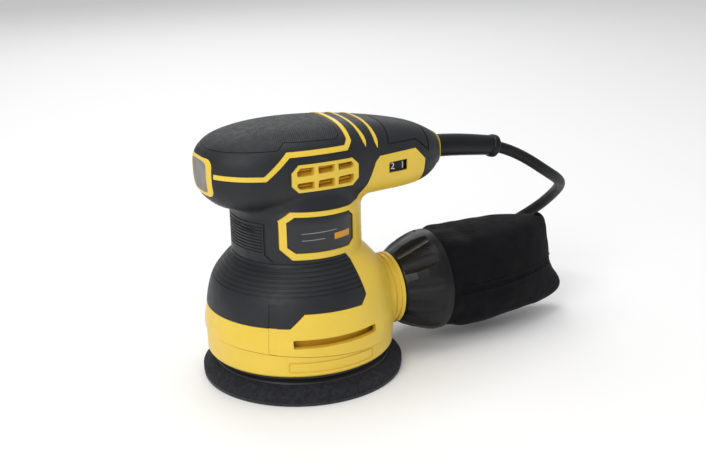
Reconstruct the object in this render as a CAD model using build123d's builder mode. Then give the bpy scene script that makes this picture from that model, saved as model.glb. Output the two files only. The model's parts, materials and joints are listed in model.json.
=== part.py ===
from build123d import *
import os
from math import copysign, cos, pi, radians, sin, tan

# Random-orbit sander with a 125 mm pad.
# Origin: on the motor axis, in the plane of the pad's hook face.
# +Z is up along the motor axis, +X points to the rear handle and the dust bag.
# The left side of the tool is -Y. All sizes are in millimetres.

os.makedirs("parts", exist_ok=True)

# ---------------------------------------------------------------- driving dimensions

PAD_R = 62.5
HOOK_T = 1.8
FOAM_RIM_Z = 6.0
FOAM_TOP_Z = 11.0
FOAM_TOP_R = 55.5
PLATE_TOP_Z = 14.0
PLATE_TOP_R = 51.5
DUST_HOLES = 8
DUST_HOLE_R = 4.0
DUST_HOLE_PITCH_R = 32.5
ORBIT = 1.25

GRIP_T = 1.8
WALL_T = 2.2
SEAM_GAP = 0.12
COLOUR_GAP = 0.3

NECK_R = 40.0
NECK_TOP_Z = 104.0
NECK_LOW_Z = 82.0
SKIRT_R = 58.4
SKIRT_Z = 17.2
SEAM_Z = 29.0
SEAM_SLOPE = -0.07
BULGE = [(42.2, 77.8), (47.8, 71.7), (52.8, 64.4), (55.4, 56.7), (56.9, 49.0), (58.0, 41.0), (58.8, 33.0)]

# head and handle: station x, half width, lowest z, highest z
HEAD = [
    (-60.0, 10.0, 126.0, 146.5),
    (-57.8, 15.8, 121.1, 149.4),
    (-53.5, 21.9, 116.4, 152.2),
    (-46.5, 28.2, 113.1, 155.1),
    (-36.0, 33.4, 111.1, 157.3),
    (-21.0, 36.7, 110.4, 158.9),
    (-2.0, 37.3, 109.9, 159.3),
    (18.0, 35.1, 109.5, 158.4),
    (38.0, 31.0, 109.3, 156.3),
    (57.0, 27.7, 109.5, 153.1),
    (72.0, 25.1, 110.2, 149.7),
    (83.0, 21.6, 112.8, 146.2),
    (91.0, 16.2, 117.2, 141.9),
    (96.4, 9.6, 120.6, 137.8),
]
HEAD_POWER = 2.8

PORT_Z = 40.0
PORT_R = 22.2
PORT_END_X = 64.0
NOZZLE_R = 17.5
NOZZLE_END_X = 82.0
PULL_GAP = 0.4

SHAFT_R = 5.0
SHAFT_TOP_R = 4.0
SPINDLE_R = 6.0
RUN_GAP = 0.05
RAISED = 0.35
GROOVE_DEPTH = 0.5
GROOVE_W = 0.8
REACH = 70.0

STATOR_R = 33.0
STATOR_Z = (80.0, 112.0)
ARMATURE_R = 18.0
BRUSH_Z = 127.5
BEARING_PLATE_Z = 50.0
BOSS_R = 3.6
BOSS_PITCH_R = 50.8
BOSS_ANGLES = (40, 140, 220, 320)

# shell screws in side view (x, z)
SHELL_SCREWS = [(-46, 120), (-34, 149), (38, 119), (62, 143), (76, 119.5), (-38, 67), (39, 68)]
SHELL_BOSS_R = 5.0
SCREW_HEAD_R = 3.4
SCREW_SHANK_R = 1.75
SCREW_SEAT_Y = 9.0

SWITCH_PIVOT_X = -52.5
SWITCH_TILT = 9.0
WINDOW_Z = 134.3
DIAL_X = 56.8
DIAL_Y = -17.2
DIAL_R = 9.8
DIAL_Z = (125.5, 131.5)
DIAL_POCKET = (19.0, 7.4)

# cord: diameter 7.5, exit at the end of the strain relief, then the free route
CORD_R = 3.75
COLLAR_R = 7.4
RELIEF_END = (143.6, 0, 122.2)
RELIEF_HEADING = (1, 0, -0.3)
RELIEF = [(95.4, 129.2, 7.3), (104.0, 128.6, 7.2), (122.0, 126.4, 6.9)]
RELIEF_END_R = 6.5
BEAD_L = 5.2
RELIEF_FLANGE_X = 86.0
CORD_ROUTE = [
    (143.6, 0, 122.2),
    (153, 0, 119),
    (168.5, 0, 110.4),
    (183.8, 0, 99.6),
    (198.3, 6.3, 90.4),
    (209.5, 18.1, 81.9),
    (216.7, 36, 69.5),
    (214.6, 53.9, 54.1),
    (201.6, 71.8, 38.2),
    (181.4, 80.6, 22.7),
    (159.9, 85.6, 11.2),
    (135.9, 85.5, 4.4),
    (110.5, 80.8, 3.8),
    (84, 78.2, 3.8),
    (58, 78.2, 3.8),
]
COIL_CENTRE = (58.0, 124.0)
COIL_RADII = (38.2, 45.8)
COIL_LAYERS = 3
CORD_TAIL = [
    (103.9, 120, 18.8),
    (101.3, 110.8, 22.3),
    (96.6, 101.7, 25.9),
    (89.9, 93.8, 28.9),
    (81.4, 87.4, 31.3),
    (71.6, 83.1, 32.8),
    (61.9, 81, 33.5),
    (54, 80.5, 33.6),
]
PLUG_Z = 33.6
PLUG_Y = 80.5
PIN_R = 2.4
PIN_PITCH = 19.0
PIN_L = 19.0
# plug: station x, width, height
PLUG = [(54, 8.6, 8.6), (48, 10.5, 10.5), (38, 22, 16), (26, 33, 21), (16, 36, 22), (11, 35, 21.5)]

# shroud, pad hub and drive stack
SHROUD_IN_R = 54.4
SHROUD_GAP = 0.6
SKIRT_SEAT_R = 46.6
SKIRT_LIP_R = 54.2
PAD_SCREW_R = 10.5
PAD_SCREW_HEAD_R = 3.5
PAD_SCREW_SHANK_R = 2.0
FLANGE_Z = 15.0
RACE_Z = (19.0, 27.0)
FAN_Z = (32.0, 46.0)
FAN_DISC_Z = 40.0
PLATE_SCREW_R = 48.9
SWITCH_Z = 134.3
CLAMP_X = 79.4
FLUTES = 12
FLUTE_R = 9.0
FLUTE_FLOOR_R = 21.3
FLUTE_SLOPE = 25.0

# dust bag: station x, half width, lowest z, highest z
BAG = [
    (93.4, 32.0, 8.0, 72.2),
    (104.0, 32.5, 7.4, 73.0),
    (122.0, 31.0, 7.6, 73.2),
    (146.0, 28.5, 7.4, 72.9),
    (166.0, 25.0, 7.2, 72.4),
    (177.0, 20.5, 8.6, 71.2),
    (182.5, 15.5, 13.0, 68.0),
    (185.5, 9.5, 24.0, 61.0),
]

# side outlines (x, z), mirrored to both sides of the tool
YELLOW_SIDE = [
    (43.4, 137.2), (70.3, 137.3), (77.8, 129.3), (77.0, 120.9), (75.4, 113.0), (75.0, 104.0),
    (110.0, 104.0), (110.0, 0.0), (-75.0, 0.0), (-75.0, 47.5), (-28.0, 47.5), (-19.5, 55.8),
    (17.5, 55.0), (22.0, 60.0), (18.5, 79.0), (14.5, 84.2), (-18.6, 84.2), (-24.9, 90.8),
    (-24.9, 108.2), (-18.2, 113.0), (21.0, 111.2), (28.7, 112.0), (34.3, 120.8), (40.2, 134.1),
]
LABEL_FRAME = [
    (-18.6, 84.2), (-24.9, 90.8), (-24.9, 108.2), (-18.2, 113.0), (20.5, 111.2), (26.2, 106.0),
    (26.2, 89.0), (19.5, 83.6),
]
LABEL_PLATE = [
    (-16.6, 88.1), (-21.2, 91.9), (-21.2, 107.1), (-16.6, 110.2), (18.9, 108.8), (22.5, 105.1),
    (22.4, 90.1), (18.1, 87.2),
]
ACCENT_LINE = [(-57.6, 136.1), (-33.0, 135.3), (-18.5, 147.6), (19.4, 146.4), (22.6, 150.0), (22.5, 168.0)]
ACCENT_W = 2.8
CLAWS = [
    [
        (28.6, 168), (30.2, 168), (32.0, 156), (34.1, 150),
        (34.3, 147.5), (33.5, 144.4), (32.2, 147.4), (30.4, 156),
    ],
    [
        (41.2, 168), (42.8, 168), (41.6, 155), (42.7, 149),
        (42.8, 146), (41.9, 142.2), (40.6, 145.8), (40.0, 155),
    ],
]
PALM_PAD = [
    (-70, 150.4), (-23.6, 150.4), (-18.8, 153.8), (14.2, 152.0), (17.2, 153.6), (17.8, 157.0),
    (18.2, 168.0), (-70, 168.0),
]
VENT_FRAME = [
    (-17.8, 137.0), (-13.2, 141.4), (22.6, 140.2), (26.9, 136.0), (26.9, 127.3), (22.8, 123.3),
    (-13.3, 124.7), (-17.8, 129.2),
]
VENT_RIM = 1.9
VENT_COLUMNS = (-9.0, 4.5, 18.0)
VENT_ROWS = (137.3, 127.9)
VENT_SLOT = (11.0, 5.6)
EXHAUST = (-0.3, 38.2, 54.0, 5.2)
IMPRINT = (-3.0, 23.4, 54.0, 7.0)
DIAL_WINDOW = (56.8, 128.5, 13.6, 6.8)
REAR_PANEL = [(55.2, 168), (50.2, 143.0), (71.5, 142.3), (80.7, 134.0), (82.5, 168)]
NECK_PANEL = [(-70, 105.6), (-31.4, 105.6), (-31.4, 86.6), (-27.5, 82.0)]
NECK_PANEL_FILL = [(-70, 105.6), (-32.2, 105.6), (-32.2, 86.0), (-70, 86.0)]
NECK_RIBS = (87.6, 104.6, 1.9)
FLARE_RIBS = (65.0, 83.2, 2.3)
FLARE_PANEL = [(-70, 64.0), (20.0, 64.0), (15.2, 83.2), (-70, 83.2)]
FACET_ANGLE = 40.0
FACET_W = 5.0
COLLAR_X = 94.0
PORT_BEADS = [(62.6, 2.6), (58.2, 1.2)]
WINDOW_SIZE = (30.0, 23.0, 5.0)
WINDOW_RIM = (4.2, 2.3)

# ---------------------------------------------------------------- shared shapes


def superellipse(half_width, low, high, count=16):
    """Points round a section that is fuller than an ellipse."""
    middle = (low + high) / 2
    half_height = (high - low) / 2
    points = []
    for step in range(count):
        turn = 2 * pi * step / count
        across = copysign(abs(cos(turn)) ** (2 / HEAD_POWER), cos(turn))
        along = copysign(abs(sin(turn)) ** (2 / HEAD_POWER), sin(turn))
        points.append((across * half_width, middle + along * half_height))
    return points


def outer_form(inset):
    """The whole outside of head, neck, skirt and dust port, drawn in by inset."""
    with BuildPart() as head:
        for x, half_width, low, high in HEAD:
            end = inset if x < 0 else -inset
            pulled_in = x + end * (abs(x) / HEAD[-1][0]) ** 2
            with BuildSketch(Plane.YZ.offset(pulled_in)):
                with BuildLine():
                    Spline(*superellipse(half_width - inset, low + inset, high - inset), periodic=True)
                make_face()
        loft()

    r = NECK_R - inset
    bulge = [(radius - inset, z) for radius, z in BULGE]
    with BuildPart() as trunk:
        with BuildSketch(Plane.XZ):
            with BuildLine():
                Spline((r - 6, 124), (r - 2.2, 114), (r, NECK_TOP_Z), tangents=((0.6, -1), (0, -1)))
                Line((r, NECK_TOP_Z), (r, NECK_LOW_Z))
                Spline((r, NECK_LOW_Z), *bulge, tangents=((0, -1), (-0.02, -1)))
                Polyline(bulge[-1], (SKIRT_R - inset, SKIRT_Z), (0, SKIRT_Z), (0, 124), (r - 6, 124))
            make_face()
        revolve(axis=Axis.Z)
        with BuildSketch(Plane.YZ.offset(20)):
            with Locations((0, PORT_Z)):
                Circle(PORT_R - inset)
        extrude(amount=PORT_END_X - 20)
        rim = trunk.edges().filter_by(lambda e: 45 < e.center().X < PORT_END_X - 2 and e.length > 25)
        rim = rim.filter_by(GeomType.BSPLINE)
        fillet(rim, radius=7 - inset / 2)
        add(head.part)
        joint = trunk.edges().filter_by(lambda e: e.center().Z > 108 and e.length > 200)
        fillet(joint, radius=7 - inset / 2)
    return trunk.part


def left_half(form):
    with BuildPart() as half:
        add(form)
        split(bisect_by=Plane.XZ, keep=Keep.TOP)
    return half.part


def between(outer, inner):
    """The layer of material between two nested forms."""
    with BuildPart() as layer:
        add(outer)
        add(inner, mode=Mode.SUBTRACT)
    return layer.part


def side_prism(outlines, grow=0.0):
    """Side outlines carried from the middle plane out to the left."""
    with BuildPart() as prism:
        with BuildSketch(Plane.XZ) as face:
            for outline in outlines:
                with BuildLine():
                    Polyline(*outline, close=True)
                make_face()
            if grow:
                offset(amount=grow, kind=Kind.INTERSECTION)
        extrude(amount=REACH)
    return prism.part


def side_line(route, width):
    """A line of even width along a side outline, carried out to the left."""
    with BuildPart() as prism:
        with BuildSketch(Plane.XZ):
            with BuildLine():
                Polyline(*route)
            trace(line_width=width)
        extrude(amount=REACH)
    return prism.part


def side_slots(centres, size, radius, from_y=0.0):
    """Rounded slots seen from the left, cut from from_y outwards."""
    with BuildPart() as slots:
        with BuildSketch(Plane.XZ.offset(from_y)):
            with Locations(*centres):
                RectangleRounded(*size, radius=radius)
        extrude(amount=REACH - from_y)
    return slots.part


def rib_grooves(panel, span):
    """Level grooves inside a side panel, evenly stacked from low to high."""
    low, high, pitch = span
    count = int((high - low) / pitch) + 1
    with BuildPart() as grooves:
        for step in range(count):
            with BuildSketch(Plane.XY.offset(low + pitch * step)):
                Rectangle(4 * REACH, 4 * REACH)
            extrude(amount=GROOVE_W + 0.1)
        add(side_prism([panel]), mode=Mode.INTERSECT)
    return grooves.part


def front_window(width, height, radius):
    """A rounded window through the nose of the head."""
    with BuildPart() as window:
        with BuildSketch(Plane.YZ.offset(-75)):
            with Locations((0, WINDOW_Z)):
                RectangleRounded(width, height, radius=radius)
        extrude(amount=28)
    return window.part


def yellow_mask(grow):
    """All that is yellow in side view; grow opens a gap round it for the soft grip."""
    blocks = side_prism([YELLOW_SIDE, LABEL_FRAME, VENT_FRAME, *CLAWS], grow)
    line = side_line(ACCENT_LINE, ACCENT_W + 2 * grow)
    with BuildPart() as mask:
        add(blocks)
        add(line)
        with BuildSketch(Plane.YZ.offset(COLLAR_X - grow)):
            with Locations((0, 128)):
                Rectangle(80, 60)
        extrude(amount=20)
    return mask.part


def mirrored(form):
    with BuildPart() as twin:
        add(form)
        mirror(about=Plane.XZ, mode=Mode.REPLACE)
    return twin.part


def save(form, name):
    form.label = name
    export_step(form, f"parts/{name}.step")


# ---------------------------------------------------------------- nested forms

raised_form = left_half(outer_form(-RAISED))
surface_form = left_half(outer_form(0))
scored_form = left_half(outer_form(GROOVE_DEPTH))
bed_form = left_half(outer_form(GRIP_T))
cavity_form = left_half(outer_form(GRIP_T + WALL_T))

grip_layer = between(surface_form, bed_form)
score_layer = between(surface_form, scored_form)
raised_layer = between(raised_form, bed_form)
raised_film = between(raised_form, surface_form)

window_outline = front_window(*WINDOW_SIZE)
window_hole = front_window(
    WINDOW_SIZE[0] - 2 * WINDOW_RIM[0], WINDOW_SIZE[1] - 2 * WINDOW_RIM[1], WINDOW_SIZE[2] - WINDOW_RIM[1]
)
vent_centres = [(x, z) for x in VENT_COLUMNS for z in VENT_ROWS]
with BuildPart() as vent_slots:
    add(side_slots(vent_centres, VENT_SLOT, 1.2, from_y=20))
    add(side_prism([VENT_FRAME], -VENT_RIM), mode=Mode.INTERSECT)
exhaust_slot = side_slots([EXHAUST[:2]], EXHAUST[2:], 1.0, from_y=30)

# ---------------------------------------------------------------- palm pad, bezel and boot

with BuildPart() as palm_half:
    add(grip_layer)
    add(side_prism([PALM_PAD]), mode=Mode.INTERSECT)
with BuildPart() as palm_pad:
    add(palm_half.part)
    mirror(about=Plane.XZ)
save(palm_pad.part, "palm_pad")

with BuildPart() as bezel_half:
    add(raised_layer)
    add(window_outline, mode=Mode.INTERSECT)
    add(window_hole, mode=Mode.SUBTRACT)
with BuildPart() as switch_bezel:
    add(bezel_half.part)
    mirror(about=Plane.XZ)
save(switch_bezel.part, "switch_bezel")

with BuildPart() as boot_half:
    add(grip_layer)
    add(window_hole, mode=Mode.INTERSECT)
with BuildPart() as switch_boot:
    add(boot_half.part)
    mirror(about=Plane.XZ)
save(switch_boot.part, "switch_boot")

# ---------------------------------------------------------------- soft grips

facet_turn = radians(FACET_ANGLE)
facet_plane = Plane(
    origin=(-50 * sin(facet_turn), -50 * cos(facet_turn), SKIRT_Z),
    x_dir=(cos(facet_turn), -sin(facet_turn), 0),
    z_dir=(0, 0, 1),
)
with BuildPart() as facet_strip:
    with BuildSketch(facet_plane):
        Rectangle(FACET_W, 40)
    extrude(amount=61.5 - SKIRT_Z)

with BuildPart() as grip_grooves:
    add(side_line(REAR_PANEL, GROOVE_W))
    add(side_line(NECK_PANEL, GROOVE_W))
    add(rib_grooves(NECK_PANEL_FILL, NECK_RIBS))
    add(rib_grooves(FLARE_PANEL, FLARE_RIBS))
    add(facet_strip.part)
    add(score_layer, mode=Mode.INTERSECT)

with BuildPart() as relief_hole:
    with BuildSketch(Plane.YZ.offset(COLLAR_X - 7)):
        with Locations((0, RELIEF[0][1])):
            Circle(RELIEF[0][2] + 0.1)
    extrude(amount=20)

with BuildPart() as grip_half:
    add(grip_layer)
    add(yellow_mask(COLOUR_GAP), mode=Mode.SUBTRACT)
    add(side_prism([PALM_PAD], COLOUR_GAP), mode=Mode.SUBTRACT)
    add(window_outline, mode=Mode.SUBTRACT)
    add(grip_grooves.part, mode=Mode.SUBTRACT)
    add(relief_hole.part, mode=Mode.SUBTRACT)
    split(bisect_by=Plane.XZ.offset(SEAM_GAP / 2), keep=Keep.TOP)

with BuildPart() as screw_recesses:
    with BuildSketch(Plane.XZ.offset(SCREW_SEAT_Y)):
        with Locations(*SHELL_SCREWS):
            Circle(SCREW_HEAD_R + 0.3)
    extrude(amount=REACH)

save(grip_half.part, "grip_left")

with BuildPart() as drilled_grip:
    add(grip_half.part)
    add(screw_recesses.part, mode=Mode.SUBTRACT)
save(mirrored(drilled_grip.part), "grip_right")

# ---------------------------------------------------------------- yellow housing halves

with BuildPart() as seam_cut:
    with BuildSketch(Plane.XZ):
        with BuildLine():
            Polyline(
                (-80, SEAM_Z - 80 * SEAM_SLOPE), (80, SEAM_Z + 80 * SEAM_SLOPE), (80, 0), (-80, 0),
                close=True,
            )
        make_face()
    extrude(amount=REACH)
    with BuildSketch(Plane.YZ.offset(40)):
        with Locations((0, PORT_Z)):
            Circle(PORT_R + 1.2)
    extrude(amount=60, mode=Mode.SUBTRACT)

with BuildPart() as port_beads:
    with BuildSketch(Plane.XZ):
        for x, width in PORT_BEADS:
            with Locations((x, PORT_Z + PORT_R)):
                RectangleRounded(width, 2.0, radius=0.5)
    revolve(axis=Axis((0, 0, PORT_Z), (1, 0, 0)))
    split(bisect_by=Plane.XZ, keep=Keep.TOP)

with BuildPart() as label_recess:
    add(raised_layer)
    add(side_prism([LABEL_PLATE]), mode=Mode.INTERSECT)

with BuildPart() as black_cut:
    add(raised_layer)
    add(yellow_mask(0), mode=Mode.SUBTRACT)

with BuildPart() as flush_cut:
    add(raised_film)
    add(side_prism([YELLOW_SIDE]), mode=Mode.INTERSECT)
    add(side_prism([LABEL_FRAME]), mode=Mode.SUBTRACT)

with BuildPart() as housing_facet:
    add(score_layer)
    add(facet_strip.part, mode=Mode.INTERSECT)

with BuildPart() as inner_posts:
    with BuildSketch(Plane.XZ):
        with Locations(*SHELL_SCREWS):
            Circle(SHELL_BOSS_R)
    extrude(amount=REACH)
    with BuildSketch(Plane.XY.offset(SEAM_Z - 1)):
        for angle in BOSS_ANGLES:
            with PolarLocations(BOSS_PITCH_R, 1, start_angle=angle):
                Circle(BOSS_R)
    extrude(amount=BEARING_PLATE_Z - SEAM_Z + 1)
    add(bed_form, mode=Mode.INTERSECT)
    with BuildSketch(Plane.XY.offset(SEAM_Z - 2)):
        for angle in BOSS_ANGLES:
            with PolarLocations(BOSS_PITCH_R, 1, start_angle=angle):
                Circle(SCREW_SHANK_R)
    extrude(amount=12, mode=Mode.SUBTRACT)
    with BuildSketch(Plane.XY.offset(BEARING_PLATE_Z)):
        for angle in BOSS_ANGLES:
            with PolarLocations(PLATE_SCREW_R, 1, start_angle=angle):
                Circle(1.0)
    extrude(amount=-6, mode=Mode.SUBTRACT)

with BuildPart() as housing_half:
    add(raised_form)
    add(cavity_form, mode=Mode.SUBTRACT)
    add(black_cut.part, mode=Mode.SUBTRACT)
    add(flush_cut.part, mode=Mode.SUBTRACT)
    add(label_recess.part, mode=Mode.SUBTRACT)
    add(housing_facet.part, mode=Mode.SUBTRACT)
    add(window_outline, mode=Mode.SUBTRACT)
    add(vent_slots.part, mode=Mode.SUBTRACT)
    add(exhaust_slot, mode=Mode.SUBTRACT)
    add(inner_posts.part)
    add(port_beads.part)
    add(relief_hole.part, mode=Mode.SUBTRACT)
    add(seam_cut.part, mode=Mode.SUBTRACT)
    split(bisect_by=Plane.XZ.offset(SEAM_GAP / 2), keep=Keep.TOP)

with BuildPart() as housing_left:
    add(housing_half.part)
    with BuildSketch(Plane.XZ):
        with Locations(*SHELL_SCREWS):
            Circle(SCREW_SHANK_R)
    extrude(amount=SCREW_SEAT_Y + 2, mode=Mode.SUBTRACT)
    with BuildSketch(Plane.XZ.offset(15)):
        with Locations(DIAL_WINDOW[:2]):
            RectangleRounded(*DIAL_WINDOW[2:], radius=0.8)
    extrude(amount=REACH, mode=Mode.SUBTRACT)
    with BuildSketch(Plane.XZ.offset(15)):
        with Locations(DIAL_WINDOW[:2]):
            Rectangle(*DIAL_POCKET)
    extrude(amount=10.5, mode=Mode.SUBTRACT)
save(housing_left.part, "housing_left")

with BuildPart() as housing_right_blank:
    add(housing_half.part)
    add(screw_recesses.part, mode=Mode.SUBTRACT)
    with BuildSketch(Plane.XZ):
        with Locations(*SHELL_SCREWS):
            Circle(SCREW_SHANK_R + 0.2)
    extrude(amount=SCREW_SEAT_Y + 2, mode=Mode.SUBTRACT)
save(mirrored(housing_right_blank.part), "housing_right")

with BuildPart() as label_plate:
    add(grip_layer)
    add(side_prism([LABEL_PLATE], -0.12), mode=Mode.INTERSECT)
    add(score_layer, mode=Mode.SUBTRACT)
save(label_plate.part, "label_plate_left")
save(mirrored(label_plate.part), "label_plate_right")

# ---------------------------------------------------------------- helpers for plain pieces


def turned(rings, centre=(0.0, 0.0)):
    """Stacked rings on an upright axis, each (inner radius, outer radius, low z, high z)."""
    with BuildPart() as piece:
        for inner, outer, low, high in rings:
            with BuildSketch(Plane.XY.offset(low)):
                with Locations(centre):
                    Circle(outer)
                    if inner:
                        Circle(inner, mode=Mode.SUBTRACT)
            extrude(amount=high - low)
    return piece.part


def balls_round(count, pitch_r, ball_r, z, centre):
    """A ring of bearing balls."""
    with BuildPart() as balls:
        with Locations((centre[0], centre[1], z)):
            with PolarLocations(pitch_r, count):
                Sphere(ball_r)
    return balls.part


def screws(points, length, head_r, head_h, shank_r, plane):
    """Pan-head screws whose heads rest on the plane and whose shanks go against its normal."""
    with BuildPart() as group:
        with BuildSketch(plane):
            with Locations(*points):
                Circle(head_r)
        extrude(amount=head_h)
        fillet(group.edges().group_by(SortBy.LENGTH)[-1].filter_by(GeomType.CIRCLE), radius=0.4)
        with BuildSketch(plane):
            with Locations(*points):
                Circle(shank_r)
        extrude(amount=-length)
        with BuildSketch(plane.offset(head_h)):
            with Locations(*points):
                Rectangle(head_r * 1.2, 0.8)
                Rectangle(0.8, head_r * 1.2)
        extrude(amount=-1.0, mode=Mode.SUBTRACT)
    return group.part


# ---------------------------------------------------------------- lower shroud and dust skirt

with BuildPart() as shroud_imprint:
    with BuildSketch(Plane.XZ):
        with Locations(IMPRINT[:2]):
            RectangleRounded(*IMPRINT[2:], radius=1.4)
            RectangleRounded(IMPRINT[2] - 2, IMPRINT[3] - 2, radius=0.8, mode=Mode.SUBTRACT)
    extrude(amount=REACH, both=True)
    with BuildSketch(Plane.XY):
        Circle(SKIRT_R - 1.0)
    extrude(amount=60, mode=Mode.SUBTRACT)

with BuildPart() as lower_shroud:
    with BuildSketch(Plane.XZ):
        with BuildLine():
            Polyline(
                (SHROUD_IN_R, SKIRT_Z), (SHROUD_IN_R, SKIRT_Z + 2), (SKIRT_SEAT_R, SKIRT_Z + 2),
                (SKIRT_SEAT_R, SKIRT_Z + 4), (SHROUD_IN_R, SKIRT_Z + 4), (SHROUD_IN_R, 38),
                (SKIRT_R - 0.2, 38), (SKIRT_R - 0.6, SKIRT_Z + 1), (SKIRT_R - 1.4, SKIRT_Z), close=True,
            )
        make_face()
    revolve(axis=Axis.Z)
    for angle in BOSS_ANGLES:
        with BuildSketch(Plane.XY.offset(SKIRT_Z + 2)):
            with PolarLocations(BOSS_PITCH_R, 1, start_angle=angle):
                Circle(BOSS_R + 0.4)
        extrude(amount=SEAM_Z - SKIRT_Z - 3.3)
    with BuildSketch(Plane.XZ):
        with BuildLine():
            Polyline(
                (-80, SEAM_Z - SHROUD_GAP - 80 * SEAM_SLOPE), (80, SEAM_Z - SHROUD_GAP + 80 * SEAM_SLOPE),
                (80, 60), (-80, 60), close=True,
            )
        make_face()
    extrude(amount=REACH, both=True, mode=Mode.SUBTRACT)
    with BuildSketch(Plane.YZ.offset(40)):
        with Locations((0, PORT_Z)):
            Circle(PORT_R + 1.6)
    extrude(amount=60, mode=Mode.SUBTRACT)
    with BuildSketch(Plane.XY.offset(SKIRT_Z)):
        for angle in BOSS_ANGLES:
            with PolarLocations(BOSS_PITCH_R, 1, start_angle=angle):
                Circle(SCREW_SHANK_R + 0.15)
    extrude(amount=20, mode=Mode.SUBTRACT)
    add(shroud_imprint.part, mode=Mode.SUBTRACT)
save(lower_shroud.part, "lower_shroud")

boss_points = [
    (BOSS_PITCH_R * cos(radians(angle)), BOSS_PITCH_R * sin(radians(angle))) for angle in BOSS_ANGLES
]
under_points = [(x, -y) for x, y in boss_points]
shroud_screws = screws(
    under_points, 16, 3.2, 1.8, SCREW_SHANK_R,
    Plane(origin=(0, 0, SKIRT_Z + 2), x_dir=(1, 0, 0), z_dir=(0, 0, -1)),
)
save(shroud_screws, "shroud_screws")

with BuildPart() as dust_skirt:
    with BuildSketch(Plane.XZ):
        with BuildLine():
            Polyline(
                (SKIRT_LIP_R - 3.2, PLATE_TOP_Z + 0.4), (SKIRT_LIP_R, PLATE_TOP_Z + 0.4),
                (SHROUD_IN_R - 0.1, SKIRT_Z + 0.2), (SHROUD_IN_R - 0.1, SKIRT_Z + 2),
                (SKIRT_SEAT_R + 7.6, SKIRT_Z + 2), (SKIRT_SEAT_R + 7.6, SKIRT_Z + 0.4),
                (SKIRT_LIP_R - 3.2, SKIRT_Z - 0.6), close=True,
            )
        make_face()
    revolve(axis=Axis.Z)
save(dust_skirt.part, "dust_skirt")

# ---------------------------------------------------------------- sanding pad

pad_centre = (ORBIT, 0.0)
hole_centres = [
    (
        ORBIT + DUST_HOLE_PITCH_R * cos(2 * pi * step / DUST_HOLES),
        DUST_HOLE_PITCH_R * sin(2 * pi * step / DUST_HOLES),
    )
    for step in range(DUST_HOLES)
]
pad_screw_points = [
    (ORBIT + PAD_SCREW_R * cos(pi / 4 + pi / 2 * step), PAD_SCREW_R * sin(pi / 4 + pi / 2 * step))
    for step in range(4)
]

with BuildPart() as pad_hook_layer:
    with BuildSketch():
        with Locations(pad_centre):
            Circle(PAD_R - 0.4)
        with Locations(*hole_centres):
            Circle(DUST_HOLE_R, mode=Mode.SUBTRACT)
        with Locations(*pad_screw_points):
            Circle(PAD_SCREW_HEAD_R + 0.5, mode=Mode.SUBTRACT)
    extrude(amount=HOOK_T)
save(pad_hook_layer.part, "pad_hook_layer")

pad_axis = Axis((ORBIT, 0, 0), (0, 0, 1))
with BuildPart() as pad_foam:
    with BuildSketch(Plane.XZ):
        with BuildLine():
            Polyline(
                (ORBIT, HOOK_T), (ORBIT + PAD_R - 0.5, HOOK_T), (ORBIT + PAD_R, HOOK_T + 0.6),
                (ORBIT + PAD_R, FOAM_RIM_Z - 0.6), (ORBIT + PAD_R - 0.8, FOAM_RIM_Z + 0.4),
                (ORBIT + FOAM_TOP_R, FOAM_TOP_Z), (ORBIT, FOAM_TOP_Z), close=True,
            )
        make_face()
    revolve(axis=pad_axis)
    with BuildSketch(Plane.XY):
        with Locations(*hole_centres):
            Circle(DUST_HOLE_R)
        with Locations(*pad_screw_points):
            Circle(PAD_SCREW_HEAD_R + 0.5)
    extrude(amount=20, mode=Mode.SUBTRACT)
save(pad_foam.part, "pad_foam")

with BuildPart() as pad_backing_plate:
    with BuildSketch(Plane.XZ):
        with BuildLine():
            Polyline(
                (ORBIT, FOAM_TOP_Z), (ORBIT + FOAM_TOP_R - 0.4, FOAM_TOP_Z),
                (ORBIT + FOAM_TOP_R - 0.8, FOAM_TOP_Z + 0.9),
                (ORBIT + PLATE_TOP_R, PLATE_TOP_Z), (ORBIT + PLATE_TOP_R - 3, PLATE_TOP_Z),
                (ORBIT + PLATE_TOP_R - 4, PLATE_TOP_Z - 1), (ORBIT + 16, PLATE_TOP_Z - 1),
                (ORBIT + 16, FLANGE_Z), (ORBIT, FLANGE_Z), close=True,
            )
        make_face()
    revolve(axis=pad_axis)
    with BuildSketch(Plane.XY):
        with Locations(*hole_centres):
            Circle(DUST_HOLE_R)
        with Locations(*pad_screw_points):
            Circle(PAD_SCREW_SHANK_R + 0.1)
    extrude(amount=20, mode=Mode.SUBTRACT)
save(pad_backing_plate.part, "pad_backing_plate")

pad_screws = screws(
    [(x, -y) for x, y in pad_screw_points], FLANGE_Z + 2.4 - FOAM_TOP_Z,
    PAD_SCREW_HEAD_R, 2.6, PAD_SCREW_SHANK_R,
    Plane(origin=(0, 0, FOAM_TOP_Z), x_dir=(1, 0, 0), z_dir=(0, 0, -1)),
)
save(pad_screws, "pad_screws")

with BuildPart() as pad_spindle:
    add(turned([(0, 15.0, FLANGE_Z, FLANGE_Z + 2.5), (0, SPINDLE_R, FLANGE_Z, RACE_Z[1])], pad_centre))
    with BuildSketch(Plane.XY.offset(FLANGE_Z)):
        with Locations(*pad_screw_points):
            Circle(PAD_SCREW_SHANK_R)
    extrude(amount=2.4, mode=Mode.SUBTRACT)
save(pad_spindle.part, "pad_spindle")

race_middle = (RACE_Z[0] + RACE_Z[1]) / 2
save(turned([(SPINDLE_R, 8.4, *RACE_Z)], pad_centre), "pad_bearing_inner")
save(turned([(0, 8.0, RACE_Z[1], RACE_Z[1] + 1.6)], pad_centre), "spindle_cap")
with BuildPart() as pad_bearing_outer:
    add(turned([(11.8, 14.0, *RACE_Z)], pad_centre))
    add(balls_round(9, 10.1, 1.65, race_middle, pad_centre))
save(pad_bearing_outer.part, "pad_bearing_outer")

# ---------------------------------------------------------------- eccentric, counterweight, fan

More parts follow.
